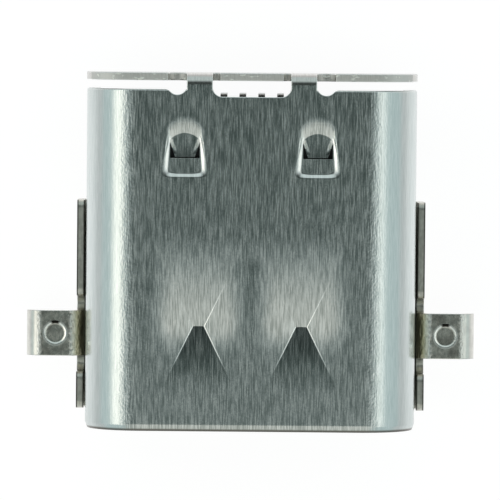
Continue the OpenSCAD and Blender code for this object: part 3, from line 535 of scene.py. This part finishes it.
def disc_ring(tree, at, edges, upward):
    """The ring that is pressed round an ear's disc: the normal before its relief, and its relief.

    Also the whole ring, its cone, and a painted shade on the arc at its rear.
    """
    aside = add(tree, "Math", {0: at.outputs["X"]}, operation="ABSOLUTE")
    from_x = add(tree, "Math", {0: aside.outputs[0], 1: DISC_X}, operation="SUBTRACT")
    from_y = add(tree, "Math", {0: at.outputs["Y"], 1: DISC_Y}, operation="SUBTRACT")
    offset = add(tree, "CombineXYZ", {"X": from_x.outputs[0], "Y": from_y.outputs[0]})
    radius = add(tree, "VectorMath", {0: offset.outputs[0]}, operation="LENGTH").outputs["Value"]
    cone = add(tree, "MapRange", {0: radius, 1: DISC_R - CONE_WIDTH, 2: DISC_R},
               interpolation_type="SMOOTHSTEP")
    rim = add(tree, "MapRange", {0: radius, 1: DISC_R + 0.04, 2: DISC_R + 0.03})
    foot = add(tree, "MapRange", {0: radius, 1: DISC_R - CONE_WIDTH - 0.02, 2: DISC_R - CONE_WIDTH})
    ring = add(tree, "Math", {0: rim.outputs[0], 1: foot.outputs[0]}, operation="MULTIPLY")
    ring = add(tree, "Math", {0: ring.outputs[0], 1: upward}, operation="MULTIPLY")
    up = add(tree, "VectorTransform", {0: (0, 0, 1)}, vector_type="NORMAL", convert_from="OBJECT",
             convert_to="WORLD")
    formed = add(tree, "Mix", {0: ring.outputs[0], 4: edges, 5: up.outputs[0]}, data_type="VECTOR")
    on_cone = add(tree, "MapRange", {0: radius, 1: DISC_R - 0.06, 2: DISC_R - 0.04})
    pressed = add(tree, "Math", {0: ring.outputs[0], 1: on_cone.outputs[0]}, operation="MULTIPLY")
    # A painted shade on the rear arc of the ring's cone
    turn = add(tree, "Math", {0: from_y.outputs[0], 1: radius}, operation="DIVIDE")
    rear_arc = add(tree, "MapRange", {0: turn.outputs[0], 1: 0.9, 2: 0.97})
    painted_arc_shade = add(tree, "Math", {0: rear_arc.outputs[0], 1: pressed.outputs[0]}, operation="MULTIPLY")
    return formed.outputs[1], cone.outputs[0], ring.outputs[0], pressed.outputs[0], painted_arc_shade.outputs[0]


def ear_bends(tree, aside, in_ear):
    """An ear's two bends, the outer one of them, and a tan painted reflection of the shell at its root."""
    root = add(tree, "MapRange", {0: aside, 1: WALL_OUT - SHEET + EAR_BEND, 2: WALL_OUT + 0.15},
               interpolation_type="SMOOTHSTEP")
    tip = add(tree, "MapRange", {0: aside, 1: LEG_OUT - EAR_BEND, 2: LEG_OUT - EAR_BEND + 0.08},
              interpolation_type="SMOOTHSTEP")
    bend = add(tree, "Math", {0: root.outputs[0], 1: tip.outputs[0]}, operation="MAXIMUM")
    bend = add(tree, "Math", {0: bend.outputs[0], 1: in_ear}, operation="MULTIPLY")
    # A tan painted reflection of the shell's side on the ear's root
    painted_root_reflection = add(tree, "MapRange", {0: aside, 1: WALL_OUT + 0.14, 2: WALL_OUT - 0.02})
    painted_root_reflection = add(tree, "Math", {0: painted_root_reflection.outputs[0], 1: in_ear}, operation="MULTIPLY")
    return bend.outputs[0], tip.outputs[0], painted_root_reflection.outputs[0]


def wall_edge_shade(tree, aside, wall_top, ear_top):
    """Painted shade along both edges of a wall's top."""
    from_core = add(tree, "Math", {0: aside, 1: WALL_OUT - SHEET / 2}, operation="SUBTRACT")
    from_core = add(tree, "Math", {0: from_core.outputs[0]}, operation="ABSOLUTE")
    edge_glint_and_shade = add(tree, "MapRange", {0: from_core.outputs[0], 1: SHEET / 2 - WALL_EDGE_SHADE_WIDTH,
                                  2: SHEET / 2 - WALL_EDGE_SHADE_WIDTH + 0.03})
    edge_glint_and_shade = add(tree, "Math", {0: edge_glint_and_shade.outputs[0], 1: wall_top}, operation="MULTIPLY")
    edge_glint_and_shade = add(tree, "Math", {0: edge_glint_and_shade.outputs[0], 1: ear_top}, operation="MULTIPLY")
    return edge_glint_and_shade.outputs[0]


def bracket_stainless():
    """Rolled stainless strip with ears, formed in a die.

    The eye sees satin flats with faint stains, galled bends painted bright as a highlight, a tan painted
    reflection of the shell at each ear's root, a ring round each disc that is burnished and painted as a
    highlight, with a painted shade on its rear arc, and painted shade along both edges of the walls' tops.
    """
    material, tree, place = new_material("formed_stainless_bracket")
    at = add(tree, "SeparateXYZ", {0: place})
    lines = grain(tree, place, (0.09, 0.5, 0.09), detail=3.0, start=1.7)
    scuff = grain(tree, place, (0.09, 0.14, 0.09), detail=3.0, roughness=0.6, start=5.2)
    stain = grain(tree, place, (0.3, 0.3, 0.3), detail=2.0, start=8.8)
    mixed = add(tree, "Mix", {0: 0.5, 2: lines, 3: scuff})
    edges, on_edge = rounded_edges(tree, 0.035)

    # Whether a point faces up, lies in an ear, and lies on a wall's top beside the ears
    facing = add(tree, "SeparateXYZ", {0: add(tree, "TexCoord").outputs["Normal"]})
    upward = add(tree, "Math", {0: facing.outputs["Z"], 1: 0.3}, operation="GREATER_THAN")
    upward = upward.outputs[0]
    from_y = add(tree, "Math", {0: at.outputs["Y"], 1: DISC_Y}, operation="SUBTRACT")
    ear_side = add(tree, "Math", {0: from_y.outputs[0]}, operation="ABSOLUTE")
    in_ear = add(tree, "MapRange", {0: ear_side.outputs[0], 1: EAR_HALF + 0.04, 2: EAR_HALF - 0.02})
    ear_top = add(tree, "MapRange", {0: at.outputs["Z"], 1: EARS_ABOVE - 0.1, 2: EARS_ABOVE + 0.1})
    ear_top = ear_top.outputs[0]
    in_ear = add(tree, "Math", {0: in_ear.outputs[0], 1: ear_top}, operation="MULTIPLY")
    in_ear = in_ear.outputs[0]
    outside_ear = add(tree, "Math", {0: 1.0, 1: in_ear}, operation="SUBTRACT")
    wall_top = add(tree, "Math", {0: outside_ear.outputs[0], 1: upward}, operation="MULTIPLY")
    wall_top = wall_top.outputs[0]

    aside = add(tree, "Math", {0: at.outputs["X"]}, operation="ABSOLUTE").outputs[0]
    formed, cone, ring, pressed, painted_arc_shade = disc_ring(tree, at, edges, upward)
    bend, tip, painted_root_reflection = ear_bends(tree, aside, in_ear)
    # The bends' galling, which pits them and is also painted bright as a highlight
    galling = add(tree, "MapRange", {0: scuff, 1: 0.3, 2: 0.52})
    inner = add(tree, "MapRange", {0: aside, 1: LEG_OUT - 0.25, 2: LEG_OUT - 0.31})
    galling_and_highlight = add(tree, "Math", {0: bend, 1: galling.outputs[0]}, operation="MULTIPLY")
    galling_and_highlight = add(tree, "Math", {0: galling_and_highlight.outputs[0], 1: inner.outputs[0]}, operation="MULTIPLY")
    galling_and_highlight = galling_and_highlight.outputs[0]

    # Colour: stained satin, bare metal and painted highlights, a painted reflection at the ears' roots, and
    # painted shade on the rings' rear arcs and along the walls' tops
    clean = shaded(tree, mixed.outputs[0], 0.36, 0.64, "#bdbcb4", "#dcdbd2")
    handled = add(tree, "MapRange", {0: in_ear, 3: 0.06, 4: 0.45})
    stained = add(tree, "MapRange", {0: stain, 1: 0.45, 2: 0.68, 3: 0.0, 4: handled.outputs[0]},
                  interpolation_type="SMOOTHSTEP")
    steel = add(tree, "Mix", {0: stained.outputs[0], 6: clean, 7: linear("#77726a")}, data_type="RGBA")
    # Bare metal on the edges outside the ring, and painted highlights on the galled bends, the cone and the
    # outer bend
    out_of_ring = add(tree, "Math", {0: 1.0, 1: ring}, operation="SUBTRACT")
    bare_and_highlight = add(tree, "Math", {0: on_edge, 1: out_of_ring.outputs[0]}, operation="MULTIPLY")
    tip_highlight = add(tree, "Math", {0: tip, 1: 0.55}, operation="MULTIPLY")
    for worn in (galling_and_highlight, pressed, tip_highlight.outputs[0]):
        bare_and_highlight = add(tree, "Math", {0: bare_and_highlight.outputs[0], 1: worn}, operation="MAXIMUM")
    layers = [(bare_and_highlight.outputs[0], "#fafaf5"), (painted_root_reflection, "#e0d6b8"), (painted_arc_shade, "#2a2723"),
              (wall_edge_shade(tree, aside, wall_top, ear_top), "#33322c")]
    for cover, colour in layers:
        steel = add(tree, "Mix", {0: cover, 6: steel.outputs[2], 7: linear(colour)}, data_type="RGBA")

    # Roughness, and relief: the ring, the rolling lines, and the pits of the galling
    satin = add(tree, "MapRange", {0: scuff, 1: 0.35, 2: 0.65, 3: 0.2, 4: 0.3})
    formed_rough = add(tree, "Mix", {0: bend, 2: satin.outputs[0], 3: 0.3})
    roughness = add(tree, "Mix", {0: wall_top, 2: formed_rough.outputs[0], 3: 0.38})
    pitting = add(tree, "Math", {0: galling_and_highlight, 1: scuff}, operation="MULTIPLY")
    normal = formed
    for height, depth in ((cone, CONE_RELIEF), (mixed.outputs[0], 0.0025), (pitting.outputs[0], 0.016)):
        bump = add(tree, "Bump", {"Height": height, "Strength": 1.0, "Distance": depth * MM,
                                  "Normal": normal})
        normal = bump.outputs[0]
    metal = add(tree, "BsdfPrincipled", {
        "Base Color": steel.outputs[2], "Roughness": roughness.outputs[0], "Normal": normal,
        "Metallic": 1.0})
    add(tree, "OutputMaterial", {"Surface": metal.outputs[0]})
    return material


def moulded_polymer(name, dark, light):
    """Glass-filled liquid-crystal polymer, injection moulded: near-black satin with short pale fibres."""
    material, tree, place = new_material(name)
    flow = grain(tree, place, (0.35, 0.9, 0.35), detail=3.0, distortion=0.8, start=2.4)
    fibre = grain(tree, place, (0.02, 0.14, 0.02), detail=2.0, start=9.1)
    mixed = add(tree, "Mix", {0: 0.4, 2: flow, 3: fibre})
    colour = shaded(tree, mixed.outputs[0], 0.4, 0.62, dark, light)
    roughness = add(tree, "MapRange", {0: fibre, 1: 0.35, 2: 0.65, 3: 0.42, 4: 0.58})
    edges, _ = rounded_edges(tree, 0.03)
    normal = add(tree, "Bump", {"Height": mixed.outputs[0], "Strength": 1.0, "Distance": 0.003 * MM,
                                "Normal": edges})
    polymer = add(tree, "BsdfPrincipled", {
        "Base Color": colour, "Roughness": roughness.outputs[0], "Normal": normal.outputs[0], "IOR": 1.54})
    add(tree, "OutputMaterial", {"Surface": polymer.outputs[0]})
    return material


def plated_contact():
    """Copper alloy strip: gold over nickel on pads and stems, matt tin on the tails that are soldered."""
    material, tree, place = new_material("gold_plated_copper_alloy")
    at = add(tree, "SeparateXYZ", {0: place})
    drawn = grain(tree, place, (0.02, 0.3, 0.02), detail=2.0, start=4.6)
    gold = shaded(tree, drawn, 0.3, 0.7, "#dcb25e", "#efcf86")
    tin = shaded(tree, drawn, 0.36, 0.64, "#b4b6b4", "#e2e3e0")
    below = add(tree, "MapRange", {0: at.outputs["Z"], 1: BOARD_TOP + 0.1, 2: BOARD_TOP},
                interpolation_type="SMOOTHSTEP")
    behind = add(tree, "MapRange", {0: at.outputs["Y"], 1: HOUSING_REAR - 0.02, 2: HOUSING_REAR + 0.04},
                 interpolation_type="SMOOTHSTEP")
    tinned = add(tree, "Math", {0: below.outputs[0], 1: behind.outputs[0]}, operation="MAXIMUM")
    colour = add(tree, "Mix", {0: tinned.outputs[0], 6: gold, 7: tin}, data_type="RGBA")
    worn = add(tree, "MapRange", {0: drawn, 1: 0.3, 2: 0.7, 3: 0.2, 4: 0.3})
    roughness = add(tree, "Mix", {0: tinned.outputs[0], 2: worn.outputs[0], 3: 0.4})
    edges, _ = rounded_edges(tree, 0.012)
    normal = add(tree, "Bump", {"Height": drawn, "Strength": 1.0, "Distance": 0.0008 * MM, "Normal": edges})
    metal = add(tree, "BsdfPrincipled", {
        "Base Color": colour.outputs[2], "Roughness": roughness.outputs[0], "Normal": normal.outputs[0],
        "Metallic": 1.0})
    add(tree, "OutputMaterial", {"Surface": metal.outputs[0]})
    return material


def finish_nodes():
    """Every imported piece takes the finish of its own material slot."""
    finishes = {
        "stainless_shell": brushed_stainless(),
        "stainless_bracket": bracket_stainless(),
        "stainless_latch": rolled_stainless("bright_rolled_stainless", "#b6b7b3", "#dadad5", 0.18, 0.28),
        "stainless_collar": rolled_stainless("bright_rolled_collar", "#b6b7b3", "#dadad5", 0.18, 0.28),
        "moulded_housing": moulded_polymer("glass_filled_polymer_black", "#131416", "#26282a"),
        "moulded_carrier": moulded_polymer("glass_filled_polymer_grey", "#1d1f22", "#34363a"),
        "gold_plated_contact": plated_contact(),
    }
    slots = {row["node"]: row["material_slot"] for row in frame["record"]["subparts"]}
    for name, node in NODES.items():
        node.data.materials.clear()
        node.data.materials.append(finishes[slots[name]])


# ---- Studio ----

# The floor: half of its side in metres, and its gap below the socket in millimetres
FLOOR_HALF = 1.5
FLOOR_GAP = 0.02

# What it shows of itself near the socket, and what the steel mirrors of it farther off, where it falls
# away, from one distance to the other in millimetres
FLOOR_GLOW = 0.92
FAR_GLOW = 0.52
NEAR = 6.0
FAR = 15.0


def floor_material():
    """Matt white sweep, open from below. Seen straight, or in a mirror-like surface, it is near white."""
    material, tree, place = new_material("matt_white_sweep")
    mottle = grain(tree, place, (40, 40, 40))
    matt = add(tree, "BsdfDiffuse", {"Color": shaded(tree, mottle, 0.3, 0.7, "#f2f2f1", "#f8f8f7")})
    shade = add(tree, "BsdfDiffuse", {"Color": linear("#6f6f6f")})
    path = add(tree, "LightPath")
    from_socket = add(tree, "VectorMath", {0: place, 1: (0, MIDDLE_Y, 0)}, operation="DISTANCE")
    far = add(tree, "MapRange", {0: from_socket.outputs["Value"], 1: NEAR, 2: FAR, 3: FLOOR_GLOW,
                                 4: FAR_GLOW})
    level = add(tree, "Mix", {0: path.outputs["Is Camera Ray"], 2: far.outputs[0], 3: FLOOR_GLOW})
    glow = add(tree, "Emission", {"Color": linear("#ffffff"), "Strength": level.outputs[0]})
    seen = add(tree, "AddShader", {0: shade.outputs[0], 1: glow.outputs[0]})
    direct = add(tree, "Math", {0: path.outputs["Is Camera Ray"], 1: path.outputs["Is Glossy Ray"]},
                 operation="MAXIMUM")
    direct = add(tree, "Math", {0: direct.outputs[0], 1: path.outputs["Is Transmission Ray"]},
                 operation="MAXIMUM")
    sweep = add(tree, "MixShader", {0: direct.outputs[0], 1: matt.outputs[0], 2: seen.outputs[0]})
    open_below = add(tree, "BsdfTransparent")
    below = add(tree, "NewGeometry").outputs["Backfacing"]
    one_way = add(tree, "MixShader", {0: below, 1: sweep.outputs[0], 2: open_below.outputs[0]})
    add(tree, "OutputMaterial", {"Surface": one_way.outputs[0]})
    return material


def make_floor():
    """A flat sweep a hair below the lowest point of the socket."""
    mesh = bpy.data.meshes.new("floor")
    shape = bmesh.new()
    bmesh.ops.create_grid(shape, x_segments=2, y_segments=2, size=FLOOR_HALF)
    bmesh.ops.translate(shape, verts=shape.verts, vec=(0, 0, cad_box[0][2] - FLOOR_GAP * MM))
    shape.to_mesh(mesh)
    shape.free()
    floor = bpy.data.objects.new("floor", mesh)
    bpy.context.scene.collection.objects.link(floor)
    mesh.materials.append(floor_material())


# The tent's light: pale all round, warmer in front, with a dark patch overhead where the camera stands, and
# darker to its rear
TENT = "#dcebeb"
PATCH = "#4c5856"
PATCH_REAR = "#2f3736"
TENT_FRONT = "#e1e5df"
TENT_LEVEL = 0.77


def light_tent():
    """A world with soft pale walls and a darker patch overhead. Its edges are angles from straight above.

    Straight past the socket and the sweep it is white.
    """
    world = bpy.data.worlds.new("light_tent")
    bpy.context.scene.world = world
    world.use_nodes = True
    tree = world.node_tree
    tree.nodes.clear()
    way = add(tree, "SeparateXYZ", {0: add(tree, "TexCoord").outputs["Generated"]})
    up = add(tree, "Math", {0: way.outputs["Z"], 1: 0.01}, operation="MAXIMUM")
    aside = add(tree, "Math", {0: way.outputs["X"], 1: up.outputs[0]}, operation="DIVIDE")
    aside = add(tree, "Math", {0: aside.outputs[0]}, operation="ABSOLUTE")
    behind = add(tree, "Math", {0: way.outputs["Y"], 1: up.outputs[0]}, operation="DIVIDE")
    edges = {"side": (aside, 36, 20), "front": (behind, -13, -1.5), "rear": (behind, 42, 22)}
    inside = 1.0
    for value, outer, inner in edges.values():
        edge = add(tree, "MapRange", {0: value.outputs[0], 1: tangent(outer), 2: tangent(inner)})
        inside = add(tree, "Math", {0: inside, 1: edge.outputs[0]}, operation="MULTIPLY").outputs[0]
    rearward = add(tree, "MapRange", {0: behind.outputs[0], 1: 0.0, 2: tangent(10)})
    patch = add(tree, "Mix", {0: rearward.outputs[0], 6: linear(PATCH), 7: linear(PATCH_REAR)},
                data_type="RGBA")
    in_front = add(tree, "MapRange", {0: behind.outputs[0], 1: tangent(-5), 2: tangent(-12)})
    middle = add(tree, "MapRange", {0: aside.outputs[0], 1: tangent(40), 2: tangent(25)})
    in_front = add(tree, "Math", {0: in_front.outputs[0], 1: middle.outputs[0]}, operation="MULTIPLY")
    cloth = add(tree, "Mix", {0: in_front.outputs[0], 6: linear(TENT), 7: linear(TENT_FRONT)},
                data_type="RGBA")
    walls = add(tree, "Background", {"Color": cloth.outputs[2], "Strength": TENT_LEVEL})
    dark = add(tree, "Background", {"Color": patch.outputs[2], "Strength": 1.0})
    both = add(tree, "MixShader", {0: inside, 1: walls.outputs[0], 2: dark.outputs[0]})
    pale = add(tree, "Background", {"Color": linear("#ffffff"), "Strength": 1.0})
    seen = add(tree, "LightPath").outputs["Is Camera Ray"]
    tent = add(tree, "MixShader", {0: seen, 1: both.outputs[0], 2: pale.outputs[0]})
    add(tree, "OutputWorld", {"Surface": tent.outputs[0]})


def softbox(name, side, polar, height, length, radiance, colour):
    """A rectangular lamp to one side of the socket, facing it: its angle from overhead, and its own height.

    Both are in degrees. Its length, along the plug's direction, is in metres.
    """
    distance = 0.25
    angle = math.radians(polar)
    centre = Vector((0, MIDDLE_Y * MM, 0))
    place = centre + distance * Vector((side * math.sin(angle), 0, math.cos(angle)))
    lamp = bpy.data.lights.new(name, "AREA")
    lamp.shape = "RECTANGLE"
    lamp.size = 2 * distance * math.tan(math.radians(height / 2))
    lamp.size_y = length
    lamp.energy = radiance * math.pi * lamp.size * lamp.size_y
    lamp.color = linear(colour)[:3]
    thing = bpy.data.objects.new(name, lamp)
    thing.location = place
    aim = (place - centre).normalized()
    across = Vector((0, 1, 0)).cross(aim).normalized()
    thing.rotation_euler = Matrix((across, (0, 1, 0), aim)).transposed().to_euler()
    bpy.context.scene.collection.objects.link(thing)


def make_lights():
    """The tent, and a softbox to each side."""
    light_tent()
    softbox("left_softbox", side=-1, polar=51, height=21, length=0.3, radiance=0.95, colour="#fff1e2")
    softbox("right_softbox", side=1, polar=46, height=16, length=0.3, radiance=0.56, colour="#fff6ec")


def make_camera():
    """A long lens almost straight above, a little to the rear of the socket. Its angles are in degrees."""
    distance = 157 * MM
    width_seen = 13.2626 * MM
    target = Vector((-0.023 * MM, 4.728 * MM, 0))
    right_lean = 0.3
    rear_lean = 2.56
    turn = 0.5
    data = bpy.data.cameras.new("camera")
    data.sensor_width = 36
    data.lens = data.sensor_width * distance / width_seen
    data.clip_start = 0.001
    data.clip_end = 10
    camera = bpy.data.objects.new("camera", data)
    away = Vector((tangent(right_lean), tangent(rear_lean), 1)).normalized()
    camera.location = target + distance * away
    right = Vector((0, 1, 0)).cross(away).normalized()
    up = Quaternion(away, math.radians(turn)) @ away.cross(right)
    camera.rotation_euler = Matrix((up.cross(away), up, away)).transposed().to_euler()
    bpy.context.scene.collection.objects.link(camera)
    bpy.context.scene.camera = camera


make_camera()
make_lights()
make_floor()
finish_nodes()

scene = bpy.context.scene
scene.view_settings.view_transform = "Standard"
